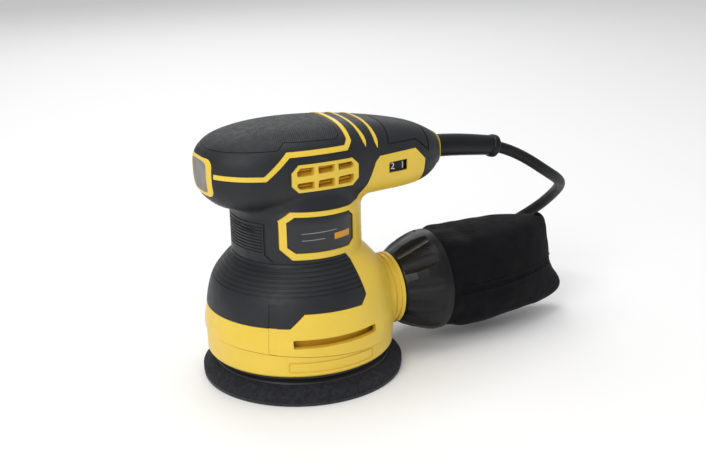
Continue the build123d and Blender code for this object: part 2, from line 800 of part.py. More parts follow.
with BuildPart() as eccentric:
    add(turned([(14.0, 18.0, RACE_Z[0], RACE_Z[1])], pad_centre))
    add(turned([(9.0, 18.0, RACE_Z[1], RACE_Z[1] + 2.2)], pad_centre))
    add(turned([(0, 18.0, RACE_Z[1] + 2.2, FAN_Z[0])], pad_centre))
    with BuildSketch(Plane.XY.offset(RACE_Z[1] + 2.2)):
        Circle(SHAFT_R)
    extrude(amount=30, mode=Mode.SUBTRACT)
save(eccentric.part, "eccentric")

with BuildPart() as counterweight:
    with BuildSketch(Plane.XY.offset(RACE_Z[0] + 1)):
        Circle(38)
        with Locations((30, 0)):
            Rectangle(80, 90, mode=Mode.SUBTRACT)
        with Locations(pad_centre):
            Circle(18.0, mode=Mode.SUBTRACT)
    extrude(amount=6.5)
    fillet(counterweight.edges().filter_by(Axis.Z), radius=1.5)
    with BuildSketch(Plane.XY.offset(FAN_Z[0] - 1.0)):
        with Locations((-22, 0)):
            RectangleRounded(12, 20, 2)
        with Locations(pad_centre):
            Circle(18.0, mode=Mode.SUBTRACT)
    extrude(amount=-(FAN_Z[0] - 1.0 - RACE_Z[0] - 4))
save(counterweight.part, "counterweight")

with BuildPart() as fan:
    add(turned([(SHAFT_R, 11.0, FAN_Z[0], FAN_Z[1]), (SHAFT_R, 43.0, FAN_DISC_Z, FAN_DISC_Z + 1.8)]))
    with PolarLocations(33.0, 11):
        with Locations((0, 0, (FAN_Z[0] + FAN_Z[1]) / 2 - 0.2)):
            Box(18, 1.6, FAN_Z[1] - FAN_Z[0] - 1.0, rotation=(0, 0, 28))
save(fan.part, "fan")

# ---------------------------------------------------------------- armature and bearings

save(
    turned([(0, SHAFT_R, RACE_Z[1] + 2.4, 138.5), (0, SHAFT_TOP_R, 138.5, 148.5)]), "armature_shaft"
)
with BuildPart() as armature_core:
    add(turned([(SHAFT_R, ARMATURE_R, STATOR_Z[0] + 1, STATOR_Z[1] - 1)]))
    with BuildSketch(Plane.XY.offset(STATOR_Z[0])):
        with PolarLocations(ARMATURE_R - 2.5, 12):
            SlotOverall(9, 2.6)
    extrude(amount=STATOR_Z[1] - STATOR_Z[0], mode=Mode.SUBTRACT)
save(armature_core.part, "armature_core")

with BuildPart() as armature_windings:
    add(turned([
        (SHAFT_R, 15.6, STATOR_Z[0] - 6, STATOR_Z[0] + 1),
        (SHAFT_R, 15.6, STATOR_Z[1] - 1, STATOR_Z[1] + 6),
    ]))
    fillet(armature_windings.edges().filter_by(lambda e: e.length > 60), radius=2.2)
save(armature_windings.part, "armature_windings")

with BuildPart() as commutator:
    add(turned([(SHAFT_R, 11.5, STATOR_Z[1] + 6.4, BRUSH_Z + 6)]))
    with BuildSketch(Plane.XY.offset(STATOR_Z[1] + 6.4)):
        with PolarLocations(11.3, 24):
            Rectangle(1.4, 0.5)
    extrude(amount=30, mode=Mode.SUBTRACT)
save(commutator.part, "commutator")

LOWER_RACE_Z = (BEARING_PLATE_Z + 3, BEARING_PLATE_Z + 11)
save(turned([(SHAFT_R, 7.6, *LOWER_RACE_Z)]), "lower_bearing_inner")
with BuildPart() as lower_bearing_outer:
    add(turned([(10.6, 13.0, *LOWER_RACE_Z)]))
    add(balls_round(8, 9.1, 1.45, LOWER_RACE_Z[0] + 4, (0, 0)))
save(lower_bearing_outer.part, "lower_bearing_outer")

UPPER_RACE_Z = (140.0, 147.0)
save(turned([(SHAFT_TOP_R, 6.2, *UPPER_RACE_Z)]), "upper_bearing_inner")
with BuildPart() as upper_bearing_outer:
    add(turned([(8.8, 11.0, *UPPER_RACE_Z)]))
    add(balls_round(7, 7.5, 1.25, 143.5, (0, 0)))
save(upper_bearing_outer.part, "upper_bearing_outer")
save(turned([(11.0, 13.5, 139.5, 147.0), (9.0, 13.5, 147.0, 150.0)]), "bearing_boot")

with BuildPart() as bearing_plate:
    add(turned([
        (8.5, 50.6, BEARING_PLATE_Z, BEARING_PLATE_Z + 3),
        (13.0, 17.0, BEARING_PLATE_Z, LOWER_RACE_Z[1]),
    ]))
    with BuildSketch(Plane.XY.offset(BEARING_PLATE_Z)):
        with PolarLocations(32, 8):
            SlotOverall(16, 8)
        for x, y in boss_points:
            with Locations((x * PLATE_SCREW_R / BOSS_PITCH_R, y * PLATE_SCREW_R / BOSS_PITCH_R)):
                Circle(1.0)
    extrude(amount=3, mode=Mode.SUBTRACT)
save(bearing_plate.part, "bearing_plate")

# ---------------------------------------------------------------- stator and brush gear

with BuildPart() as stator_core:
    with BuildSketch(Plane.XY.offset(STATOR_Z[0])):
        Circle(STATOR_R)
        Circle(ARMATURE_R + 0.6, mode=Mode.SUBTRACT)
        with Locations((0, 24), (0, -24)):
            RectangleRounded(20, 7, 2, mode=Mode.SUBTRACT)
    extrude(amount=STATOR_Z[1] - STATOR_Z[0])
save(stator_core.part, "stator_core")

with BuildPart() as field_coils:
    for side in (-1, 1):
        with BuildSketch(Plane.XY.offset(STATOR_Z[0])):
            with Locations((0, 24 * side)):
                RectangleRounded(19.6, 6.6, 1.8)
        extrude(amount=STATOR_Z[1] - STATOR_Z[0])
        for low in (STATOR_Z[0] - 5, STATOR_Z[1]):
            with BuildSketch(Plane.XY.offset(low)):
                with Locations((0, 23.5 * side)):
                    RectangleRounded(30, 10, 3)
            extrude(amount=5)
save(field_coils.part, "field_coils")

with BuildPart() as brush_holders:
    for side in (-1, 1):
        with BuildSketch(Plane.XZ.offset(-side * 12.6)):
            with Locations((0, BRUSH_Z)):
                Rectangle(9.0, 11.0)
                Rectangle(6.2, 8.2, mode=Mode.SUBTRACT)
        extrude(amount=-side * 16)
        with BuildSketch(Plane.XZ.offset(-side * 28.4)):
            with Locations((0, BRUSH_Z)):
                Rectangle(9.0, 11.0)
        extrude(amount=-side * 1.2)
save(brush_holders.part, "brush_holders")

with BuildPart() as carbon_brushes:
    for side in (-1, 1):
        with BuildSketch(Plane.XZ.offset(-side * 11.8)):
            with Locations((0, BRUSH_Z)):
                Rectangle(6.0, 8.0)
        extrude(amount=-side * 10)
save(carbon_brushes.part, "carbon_brushes")

with BuildPart() as brush_springs:
    for side in (-1, 1):
        with BuildSketch(Plane.XZ.offset(-side * 21.9)):
            with Locations((0, BRUSH_Z)):
                Circle(2.1)
                Circle(1.7, mode=Mode.SUBTRACT)
        extrude(amount=-side * 6.4)
        for step in range(6):
            with BuildSketch(Plane.XZ.offset(-side * (21.9 + step * 1.1))):
                with Locations((0, BRUSH_Z)):
                    Circle(2.6)
                    Circle(1.7, mode=Mode.SUBTRACT)
            extrude(amount=-side * 0.7)
save(brush_springs.part, "brush_springs")

# ---------------------------------------------------------------- switch

SWITCH_BACK_X = -33.0
SWITCH_FACE_X = -48.4
with BuildPart() as power_switch:
    with BuildSketch(Plane.YZ.offset(SWITCH_FACE_X)):
        with Locations((0, SWITCH_Z)):
            Rectangle(23, 18)
    extrude(amount=SWITCH_BACK_X - SWITCH_FACE_X)
    for level in (SWITCH_Z - 9.0, SWITCH_Z + 7.8):
        with BuildSketch(Plane.XY.offset(level)):
            with Locations((SWITCH_PIVOT_X + 2.0, 0)):
                Rectangle(6.6, 19)
            with Locations((SWITCH_PIVOT_X, 0)):
                Circle(1.2 + RUN_GAP, mode=Mode.SUBTRACT)
        extrude(amount=1.2)
    with BuildSketch(Plane.YZ.offset(SWITCH_BACK_X)):
        with GridLocations(12, 8, 2, 2):
            with Locations((0, SWITCH_Z)):
                Rectangle(4.8, 0.8)
    extrude(amount=6)
save(power_switch.part, "power_switch")

tilt = radians(SWITCH_TILT)
rocker_plane = Plane(
    origin=(SWITCH_PIVOT_X, 0, SWITCH_Z - 7.5), x_dir=(cos(tilt), sin(tilt), 0), z_dir=(0, 0, 1)
)
with BuildPart() as switch_rocker:
    with BuildSketch(rocker_plane):
        with BuildLine():
            Polyline((1.6, -9.2), (-2.6, -9.4), (-0.9, 0), (-2.6, 9.4), (1.6, 9.2), (2.4, 0), close=True)
        make_face()
    extrude(amount=15)
    fillet(switch_rocker.edges().filter_by(Axis.Z), radius=0.6)
    with BuildSketch(Plane.XY.offset(SWITCH_Z - 9.0)):
        with Locations((SWITCH_PIVOT_X, 0)):
            Circle(1.2)
    extrude(amount=18)
save(switch_rocker.part, "switch_rocker")

# ---------------------------------------------------------------- speed control

POT_SHAFT_R = 1.6
with BuildPart() as speed_board:
    with BuildSketch(Plane.XY.offset(119.0)):
        with Locations((DIAL_X - 0.3, -6)):
            Rectangle(25, 22)
    extrude(amount=1.6)
    with BuildSketch(Plane.XY.offset(120.6)):
        with Locations((DIAL_X, DIAL_Y + 6)):
            Rectangle(8, 6)
        with Locations((DIAL_X - 6, 0.5)):
            Rectangle(9, 5)
        with Locations((DIAL_X + 7, 0)):
            Circle(2.6)
    extrude(amount=3.4)
    with BuildSketch(Plane.XY.offset(120.6)):
        with Locations((DIAL_X, DIAL_Y)):
            Circle(3.2)
    extrude(amount=DIAL_Z[0] - 0.6 - 120.6)
    with BuildSketch(Plane.XY.offset(124.4)):
        with Locations((DIAL_X, DIAL_Y)):
            Circle(POT_SHAFT_R)
    extrude(amount=7)
save(speed_board.part, "speed_board")

with BuildPart() as speed_dial:
    with BuildSketch(Plane.XY.offset(DIAL_Z[0])):
        with Locations((DIAL_X, DIAL_Y)):
            Circle(DIAL_R)
            Circle(POT_SHAFT_R + RUN_GAP, mode=Mode.SUBTRACT)
    extrude(amount=DIAL_Z[1] - DIAL_Z[0])
    with BuildSketch(Plane.XY.offset(DIAL_Z[0])):
        with Locations((DIAL_X, DIAL_Y)):
            with PolarLocations(DIAL_R, 40):
                Rectangle(0.7, 0.6)
    extrude(amount=1.6, mode=Mode.SUBTRACT)
save(speed_dial.part, "speed_dial")

with BuildPart() as capacitor:
    with BuildSketch(Plane.XZ.offset(-2)):
        with Locations((66, 132)):
            RectangleRounded(16, 11, 0.8)
    extrude(amount=-7.5)
save(capacitor.part, "capacitor")

with BuildPart() as switch_leads:
    for offset_y in (3.2, -3.2):
        with BuildLine() as lead_path:
            FilletPolyline(
                (SWITCH_BACK_X + 6, offset_y, SWITCH_Z + 4.2), (-20, offset_y * 3.6, SWITCH_Z + 4.2),
                (-18, offset_y * 6.4, 150.5), (24, offset_y * 5.4, 148), (40, offset_y * 2.6, 143),
                radius=3.0,
            )
        with BuildSketch(Plane(origin=lead_path.line @ 0, z_dir=lead_path.line % 0)):
            Circle(0.9)
        sweep(path=lead_path.line)
save(switch_leads.part, "switch_leads")

# ---------------------------------------------------------------- cord clamp and shell screws

with BuildPart() as cord_clamp:
    with BuildSketch(Plane.YZ.offset(CLAMP_X)):
        with Locations((0, RELIEF[0][1] + 4.4)):
            RectangleRounded(20, 3.2, 0.8)
        with Locations((0, RELIEF[0][1])):
            Circle(CORD_R, mode=Mode.SUBTRACT)
    extrude(amount=6)
save(cord_clamp.part, "cord_clamp")

side_plane = Plane(origin=(0, SCREW_SEAT_Y, 0), x_dir=(1, 0, 0), z_dir=(0, 1, 0))
shell_points = [(x, -z) for x, z in SHELL_SCREWS]
shell_screws = screws(shell_points, 16, SCREW_HEAD_R, 2.4, SCREW_SHANK_R, side_plane)
save(shell_screws, "shell_screws")

plate_plane = Plane.XY.offset(BEARING_PLATE_Z + 3)
plate_ratio = PLATE_SCREW_R / BOSS_PITCH_R
plate_points = [(x * plate_ratio, y * plate_ratio) for x, y in boss_points]
save(screws(plate_points, 5.0, 1.9, 1.2, 1.0, plate_plane), "bearing_plate_screws")

# ---------------------------------------------------------------- dust outlet, adapter and bag

outlet_axis = Axis((0, 0, PORT_Z), (1, 0, 0))


def outlet_turn(profile):
    """A profile of (x, radius) points turned round the dust outlet's axis."""
    with BuildPart() as piece:
        with BuildSketch(Plane.XZ):
            with BuildLine():
                Polyline(*[(x, PORT_Z + radius) for x, radius in profile], close=True)
            make_face()
        revolve(axis=outlet_axis)
    return piece.part


nozzle_in_r = NOZZLE_R - 2.0
port_in_r = PORT_R - GRIP_T - WALL_T
dust_nozzle = outlet_turn([
    (52, nozzle_in_r), (52, port_in_r), (PORT_END_X - 0.5, port_in_r), (PORT_END_X - 0.5, NOZZLE_R),
    (NOZZLE_END_X - 1, NOZZLE_R), (NOZZLE_END_X, NOZZLE_R - 0.8), (NOZZLE_END_X, nozzle_in_r),
])
save(dust_nozzle, "dust_nozzle")

front_x = PORT_END_X + PULL_GAP
with BuildPart() as dust_adapter:
    add(outlet_turn([
        (front_x, NOZZLE_R + RUN_GAP), (front_x, 21.4), (front_x + 0.8, 22.4), (front_x + 2.2, 23.4),
        (72, 26.9), (79, 30.0), (85, 32.0), (89, 32.9), (93.4, 33.0), (93.4, 30.2), (84, 29.4),
        (77, 26.2), (71, 21.0), (70.4, NOZZLE_R + RUN_GAP),
    ]))
    for step in range(FLUTES):
        turn = 2 * pi * (step + 0.5) / FLUTES
        slope = radians(FLUTE_SLOPE)
        radial = (0, cos(turn), sin(turn))
        reach = FLUTE_FLOOR_R + FLUTE_R
        start = (front_x - 2, reach * radial[1], PORT_Z + reach * radial[2])
        along = (cos(slope), sin(slope) * radial[1], sin(slope) * radial[2])
        with BuildSketch(Plane(origin=start, z_dir=along)):
            Circle(FLUTE_R)
        extrude(amount=23.5, mode=Mode.SUBTRACT)
save(dust_adapter.part, "dust_adapter")

save(outlet_turn([(85.5, 25.0), (85.5, 29.2), (93.0, 30.0), (93.0, 25.0)]), "bag_retainer")

with BuildPart() as dust_bag:
    for x, half_y, low, high in BAG:
        middle = (low + high) / 2
        half_z = (high - low) / 2
        with BuildSketch(Plane.YZ.offset(x)):
            with BuildLine():
                points = []
                for step in range(20):
                    turn = 2 * pi * step / 20
                    points.append((
                        copysign(abs(cos(turn)) ** (2 / 2.3), cos(turn)) * half_y,
                        middle + copysign(abs(sin(turn)) ** (2 / 2.3), sin(turn)) * half_z,
                    ))
                Spline(*points, periodic=True)
            make_face()
    loft()
    with BuildSketch(Plane.XZ):
        with BuildLine():
            Spline((166, 8.4), (184, 9.6), (195, 13.4), (198.4, 18.4), (192, 28), (186.5, 38), (166, 40))
            Line((166, 40), (166, 8.4))
        make_face()
    extrude(amount=13, both=True)
    with BuildSketch(Plane.YZ.offset(BAG[0][0])):
        with Locations((0, PORT_Z)):
            Circle(26.0)
    with BuildSketch(Plane.YZ.offset(170)):
        with Locations((0, PORT_Z)):
            RectangleRounded(34, 52, 10)
    loft(mode=Mode.SUBTRACT)
save(dust_bag.part, "dust_bag")

# ---------------------------------------------------------------- strain relief, cord and plug

end_plane = Plane(origin=RELIEF_END, x_dir=(0, 1, 0), z_dir=RELIEF_HEADING)
with BuildPart() as relief_bead:
    with BuildSketch(end_plane):
        Circle(COLLAR_R)
    extrude(amount=-BEAD_L)
    fillet(relief_bead.edges().filter_by(GeomType.CIRCLE), radius=1.6)

with BuildPart() as strain_relief:
    for (x, z, radius), (next_x, next_z, _) in zip(RELIEF, [*RELIEF[1:], (138.0, 123.4, 0)]):
        heading = (next_x - x, 0, next_z - z)
        with BuildSketch(Plane(origin=(x, 0, z), x_dir=(0, 1, 0), z_dir=heading)):
            Circle(radius)
    with BuildSketch(end_plane.offset(-BEAD_L)):
        Circle(RELIEF_END_R)
    loft()
    add(relief_bead.part)
    with BuildSketch(Plane.YZ.offset(RELIEF_FLANGE_X)):
        with Locations((0, RELIEF[0][1])):
            Circle(COLLAR_R + 1.2)
    extrude(amount=1.4)
    with BuildSketch(Plane.YZ.offset(RELIEF_FLANGE_X)):
        with Locations((0, RELIEF[0][1])):
            Circle(COLLAR_R - 0.2)
    extrude(amount=RELIEF[0][0] - RELIEF_FLANGE_X + 0.8)
save(strain_relief.part, "strain_relief")


def corner_radii(route):
    """Each bend takes 0.45 of the shorter run on either side of it."""
    radii = []
    for before, here, after in zip(route, route[1:], route[2:]):
        arriving = Vector(*here) - Vector(*before)
        leaving = Vector(*after) - Vector(*here)
        half_turn = radians(arriving.get_angle(leaving)) / 2
        radii.append(0.45 * min(arriving.length, leaving.length) / tan(half_turn))
    return radii


def cord_tube(route):
    radii = corner_radii(route)
    print("cord radii", [round(radius, 1) for radius in radii])
    with BuildPart() as tube:
        with BuildLine() as path:
            FilletPolyline(*route, radius=radii)
        with BuildSketch(Plane(origin=path.line @ 0, z_dir=path.line % 0)):
            Circle(CORD_R)
        sweep(path=path.line)
    length = sum(edge.length for edge in path.edges())
    ratio = tube.part.volume / (pi * CORD_R**2 * length)
    print("cord length", round(length, 1), "volume ratio", round(ratio, 4))
    return tube.part


save(cord_tube(CORD_ROUTE), "power_cord")
save(cord_tube(CORD_TAIL), "cord_tail")

coil_in = COIL_RADII[0] - CORD_R
coil_out = COIL_RADII[1] + CORD_R
coil_top = 2 * CORD_R * COIL_LAYERS
save(turned([(coil_in, coil_out, 0, coil_top)], COIL_CENTRE), "cord_coil")

tie_at = (COIL_CENTRE[0], COIL_CENTRE[1] + (coil_in + coil_out) / 2, 0)
with BuildPart() as cord_tie:
    with BuildSketch(Plane(origin=tie_at, x_dir=(0, 1, 0), z_dir=(1, 0, 0))):
        with Locations((0, coil_top / 2)):
            Rectangle(coil_out - coil_in + 1.6, coil_top + 1.6)
            Rectangle(coil_out - coil_in, coil_top, mode=Mode.SUBTRACT)
    extrude(amount=6, both=True)
    split(bisect_by=Plane.XY, keep=Keep.TOP)
save(cord_tie.part, "cord_tie")

with BuildPart() as plug_body:
    for x, width, height in PLUG:
        with BuildSketch(Plane(origin=(x, PLUG_Y, PLUG_Z), x_dir=(0, 1, 0), z_dir=(-1, 0, 0))):
            RectangleRounded(width, height, radius=min(width, height) * 0.46)
    loft()
save(plug_body.part, "plug_body")

plug_face_x = PLUG[-1][0]
with BuildPart() as plug_pins:
    with BuildSketch(Plane(origin=(plug_face_x, PLUG_Y, PLUG_Z), x_dir=(0, 1, 0), z_dir=(-1, 0, 0))):
        with Locations((-PIN_PITCH / 2, 0), (PIN_PITCH / 2, 0)):
            Circle(PIN_R)
    extrude(amount=PIN_L)
    fillet(plug_pins.edges().group_by(Axis.X)[0], radius=1.4)
save(plug_pins.part, "plug_pins")
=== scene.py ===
import json
from math import asin, atan2, cos, exp, pi, radians, sin

import bmesh
import bpy
from mathutils import Matrix, Vector, noise


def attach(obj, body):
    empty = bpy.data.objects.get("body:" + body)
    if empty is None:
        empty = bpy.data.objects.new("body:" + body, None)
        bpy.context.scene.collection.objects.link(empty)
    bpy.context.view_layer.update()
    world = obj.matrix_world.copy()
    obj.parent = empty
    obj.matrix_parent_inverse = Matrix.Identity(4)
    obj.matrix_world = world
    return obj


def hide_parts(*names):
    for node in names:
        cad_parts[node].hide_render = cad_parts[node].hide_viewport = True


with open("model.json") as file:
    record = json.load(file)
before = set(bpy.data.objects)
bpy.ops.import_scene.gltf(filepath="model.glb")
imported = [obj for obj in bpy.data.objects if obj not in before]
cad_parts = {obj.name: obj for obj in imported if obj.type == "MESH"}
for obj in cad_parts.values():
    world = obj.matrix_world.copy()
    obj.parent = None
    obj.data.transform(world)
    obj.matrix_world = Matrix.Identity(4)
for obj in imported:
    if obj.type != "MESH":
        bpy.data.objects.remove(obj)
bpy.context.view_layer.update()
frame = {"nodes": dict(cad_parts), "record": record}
scene = bpy.context.scene

# ---------------------------------------------------------------- camera

CAMERA_AZIMUTH = 26.35
CAMERA_ELEVATION = 19.0
CAMERA_ROLL = -1.4
CAMERA_TARGET = Vector((0.0311, -0.0154, 0.0837))
CAMERA_DISTANCE = 0.8
CAMERA_LENS = 66.43

turn = radians(CAMERA_AZIMUTH)
rise = radians(CAMERA_ELEVATION)
back = Vector((-sin(turn) * cos(rise), -cos(turn) * cos(rise), sin(rise)))
level_right = Vector((cos(turn), -sin(turn), 0))
level_up = back.cross(level_right)
roll = radians(CAMERA_ROLL)
right = cos(roll) * level_right + sin(roll) * level_up
up = cos(roll) * level_up - sin(roll) * level_right
camera_data = bpy.data.cameras.new("camera")
camera_data.lens = CAMERA_LENS
camera_data.sensor_width = 36
camera_data.clip_start = 0.01
camera = bpy.data.objects.new("camera", camera_data)
camera.matrix_world = Matrix.Translation(CAMERA_TARGET + CAMERA_DISTANCE * back) @ Matrix(
    (right, up, back)
).transposed().to_4x4()
scene.collection.objects.link(camera)
scene.camera = camera
scene.view_settings.view_transform = "Standard"

# ---------------------------------------------------------------- material helpers

# the shares of a noise's range that roughness and tint are spread over
ROUGH_SPAN = (0.3, 0.7)
TINT_SPAN = (0.35, 0.65)


class Shader:
    """One Principled material with small helpers for its procedural detail."""

    def __init__(self, name, color, roughness, metallic=0.0, **sockets):
        self.material = bpy.data.materials.new(name)
        self.material.use_nodes = True
        self.nodes = self.material.node_tree.nodes
        self.links = self.material.node_tree.links
        self.principled = self.nodes["Principled BSDF"]
        self.principled.inputs["Base Color"].default_value = (*color, 1)
        self.principled.inputs["Roughness"].default_value = roughness
        self.principled.inputs["Metallic"].default_value = metallic
        for socket, value in sockets.items():
            self.principled.inputs[socket.replace("_", " ")].default_value = value
        self.place = self.nodes.new("ShaderNodeTexCoord").outputs["Object"]
        self.height = None

    def node(self, kind, links, **values):
        made = self.nodes.new(kind)
        for key, value in values.items():
            if key in made.inputs:
                made.inputs[key].default_value = value
            else:
                setattr(made, key, value)
        for socket, output in links.items():
            self.links.new(output, made.inputs[socket])
        return made

    def noise(self, scale, detail=3.0, stretch=None):
        place = self.place
        if stretch:
            place = self.node("ShaderNodeMapping", {"Vector": place}, Scale=stretch).outputs[0]
        made = self.node("ShaderNodeTexNoise", {"Vector": place}, Scale=scale, Detail=detail)
        return made.outputs["Fac"]

    def wave(self, scale, direction, turned=None, distortion=0.0):
        place = self.place
        if turned:
            place = self.node("ShaderNodeMapping", {"Vector": place}, Rotation=turned).outputs[0]
        made = self.node(
            "ShaderNodeTexWave", {"Vector": place}, Scale=scale, Distortion=distortion,
            bands_direction=direction,
        )
        return made.outputs["Fac"]

    def voronoi(self, scale):
        return self.node("ShaderNodeTexVoronoi", {"Vector": self.place}, Scale=scale).outputs["Distance"]

    def product(self, first, second):
        made = self.nodes.new("ShaderNodeMath")
        made.operation = "MULTIPLY"
        self.links.new(first, made.inputs[0])
        self.links.new(second, made.inputs[1])
        return made.outputs[0]

    def tint(self, value, dark, light):
        """Vary the colour between two tints with a value."""
        ramp = self.node("ShaderNodeValToRGB", {"Fac": value})
        for element, position, color in zip(ramp.color_ramp.elements, TINT_SPAN, (dark, light)):
            element.position = position
            element.color = (*color, 1)
        self.links.new(ramp.outputs["Color"], self.principled.inputs["Base Color"])

    def rough(self, value, low, high):
        """Vary the roughness between low and high with a value."""
        made = self.node("ShaderNodeMapRange", {"Value": value})
        for index, limit in enumerate((*ROUGH_SPAN, low, high), start=1):
            made.inputs[index].default_value = limit
        self.links.new(made.outputs[0], self.principled.inputs["Roughness"])

    def bump(self, value, depth, strength=1.0):
        """Stack one more height of depth metres onto the surface."""
        links = {"Height": value}
        if self.height:
            links["Normal"] = self.height
        made = self.node("ShaderNodeBump", links, Strength=strength, Distance=depth)
        self.height = made.outputs["Normal"]
        self.links.new(self.height, self.principled.inputs["Normal"])


def moulded(name, dark, light, roughness, grain=0.00002, **sockets):
    """Moulded plastic: slight tint drift, fine spark-eroded grain."""
    shader = Shader(name, light, roughness, **sockets)
    shader.tint(shader.noise(45), dark, light)
    shader.rough(shader.noise(220), roughness - 0.05, roughness + 0.07)
    shader.bump(shader.noise(2600, 2), grain)
    return shader.material


def metal(name, color, roughness, scale=900, stretch=(1, 1, 0.04), depth=0.00001):
    """Bare metal: uneven polish, and a fine relief that stretch draws out into lines."""
    shader = Shader(name, color, roughness, 1.0)
    shader.rough(shader.noise(160), roughness - 0.06, roughness + 0.1)
    shader.bump(shader.noise(scale, 2, stretch), depth)
    return shader.material


def yellow_plastic():
    shader = Shader("yellow_plastic", (0.80, 0.56, 0.062), 0.36, Specular_IOR_Level=0.4)
    shader.tint(shader.noise(30), (0.78, 0.545, 0.058), (0.82, 0.575, 0.066))
    shader.rough(shader.noise(180), 0.32, 0.42)
    shader.bump(shader.noise(2800, 2), 0.000015)
    return shader.material


def soft_grip():
    shader = Shader("soft_grip", (0.010, 0.011, 0.014), 0.5, Specular_IOR_Level=0.4)
    shader.tint(shader.noise(60), (0.0085, 0.0095, 0.0125), (0.0125, 0.0135, 0.017))
    shader.rough(shader.noise(200), 0.44, 0.56)
    shader.bump(shader.noise(1900, 3), 0.00003)
    return shader.material


def palm_texture():
    """Fine diagonal ribs moulded into the palm pad."""
    shader = Shader("palm_texture", (0.009, 0.010, 0.012), 0.6, Specular_IOR_Level=0.4)
    shader.tint(shader.noise(80), (0.0075, 0.0085, 0.0105), (0.012, 0.013, 0.0155))
    ribs = shader.wave(300, "X", turned=(0, 0, radians(35)))
    shader.rough(shader.noise(300), 0.5, 0.66)
    shader.bump(ribs, 0.00011)
    shader.bump(shader.noise(2200, 2), 0.00003)
    return shader.material


def bag_cloth():
    """Coated black cloth: plain weave, soft sheen, and a random bluish mottle of painted sheen."""
    shader = Shader(
        "bag_cloth", (0.0022, 0.0024, 0.0036), 0.8, Specular_IOR_Level=0.12,
        Sheen_Weight=0.03, Sheen_Roughness=0.5,
    )
    # painted sheen: a slow random mottle, lighter and bluer in places, stands in for highlights on the
    # cloth
    shader.tint(shader.noise(55, 5), (0.0012, 0.0013, 0.0021), (0.0036, 0.0038, 0.0060))
    shader.rough(shader.noise(120), 0.72, 0.9)
    warp = shader.wave(520, "X")
    weft = shader.wave(520, "Z")
    shader.bump(shader.product(warp, weft), 0.00012)
    shader.bump(shader.noise(900, 3), 0.00006)
    return shader.material


def foam():
    shader = Shader("foam", (0.012, 0.013, 0.015), 0.85, Specular_IOR_Level=0.3)
    shader.tint(shader.noise(400, 4), (0.009, 0.0095, 0.012), (0.022, 0.023, 0.029))
    shader.bump(shader.voronoi(1400), 0.00025, 0.6)
    return shader.material


def hook_tape():
    shader = Shader("hook_tape", (0.02, 0.02, 0.022), 0.9, Sheen_Weight=0.2)
    shader.tint(shader.noise(700, 4), (0.012, 0.012, 0.014), (0.035, 0.035, 0.038))
    shader.bump(shader.voronoi(1100), 0.0005, 0.8)
    return shader.material


def boot_silicone():
    """Cloudy clear silicone with a warm tint."""
    shader = Shader(
        "boot_silicone", (0.27, 0.24, 0.22), 0.38, Transmission_Weight=0.3, IOR=1.42,
        Subsurface_Weight=0.15, Subsurface_Scale=0.004,
    )
    shader.tint(shader.noise(90), (0.22, 0.195, 0.18), (0.31, 0.28, 0.26))
    shader.bump(shader.noise(700, 3), 0.00008)
    return shader.material


def windings():
    shader = Shader("windings", (0.42, 0.12, 0.035), 0.32, 0.9)
    shader.tint(shader.noise(500), (0.34, 0.09, 0.025), (0.5, 0.16, 0.05))
    shader.bump(shader.wave(380, "Z", distortion=1.0), 0.0003)
    return shader.material


def laminations():
    shader = Shader("laminations", (0.10, 0.10, 0.105), 0.45, 0.8)
    shader.tint(shader.noise(200), (0.07, 0.07, 0.075), (0.13, 0.13, 0.135))
    shader.bump(shader.wave(320, "Z"), 0.00015)
    return shader.material


SLOT_MATERIALS = {
    "yellow_shell": yellow_plastic(),
    "black_grip": soft_grip(),
    "palm_rubber": palm_texture(),
    "black_plastic": moulded("black_nylon", (0.006, 0.0065, 0.008), (0.010, 0.011, 0.013), 0.5, 0.00003),
    "gloss_black": moulded(
        "black_satin", (0.0035, 0.0038, 0.0048), (0.0055, 0.006, 0.0075), 0.36, Specular_IOR_Level=0.3,
    ),
    "clear_boot": boot_silicone(),
    "label": moulded("label_plate", (0.011, 0.012, 0.014), (0.015, 0.016, 0.018), 0.32, 0.000008),
    "bag_cloth": bag_cloth(),
    "pad_foam": foam(),
    "hook_layer": hook_tape(),
    "jacket": moulded(
        "cord_jacket", (0.004, 0.0043, 0.0055), (0.0065, 0.007, 0.009), 0.5, 0.00003,
        Specular_IOR_Level=0.25,
    ),
    "steel": metal("ground_steel", (0.56, 0.56, 0.58), 0.28),
    "screw_steel": metal("zinc_steel", (0.50, 0.50, 0.53), 0.34),
    "bearing_steel": metal("bearing_steel", (0.66, 0.67, 0.69), 0.16),
    "lamination": laminations(),
    "copper": windings(),
    "brass": metal("brass", (0.62, 0.42, 0.16), 0.26),
    "carbon": moulded("carbon", (0.02, 0.02, 0.022), (0.04, 0.04, 0.042), 0.62, 0.00006),
    "aluminium": metal("cast_aluminium", (0.58, 0.59, 0.61), 0.42, 700, None, 0.00006),
    "board": moulded("solder_mask", (0.008, 0.05, 0.02), (0.015, 0.09, 0.035), 0.3),
    "fan_plastic": moulded("glass_filled", (0.03, 0.03, 0.032), (0.05, 0.05, 0.053), 0.55, 0.00005),
    "capacitor": moulded("capacitor", (0.42, 0.25, 0.04), (0.52, 0.32, 0.06), 0.3),
    "switch_plastic": moulded("switch_plastic", (0.02, 0.02, 0.022), (0.035, 0.035, 0.038), 0.48),
}
# yellow plastic darkened to orange: painted shade for the inside of the housing behind the vents
painted_shade_yellow = moulded("painted_shade_inner_wall", (0.62, 0.33, 0.012), (0.70, 0.38, 0.016), 0.45)
orange_print = moulded("orange_print", (0.60, 0.27, 0.015), (0.66, 0.31, 0.02), 0.4, 0.000006)
grey_print = moulded("grey_print", (0.20, 0.20, 0.205), (0.25, 0.25, 0.255), 0.45, 0.000006)
slot_of = {row["node"]: row["material_slot"] for row in frame["record"]["subparts"]}
for node, piece in frame["nodes"].items():
    for socket in piece.material_slots:
        socket.material = SLOT_MATERIALS[slot_of[node]]


def new_piece(name, mesh, material, body):
    piece = bpy.data.objects.new(name, mesh)
    scene.collection.objects.link(piece)
    piece.data.materials.append(material)
    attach(piece, body)
    return piece


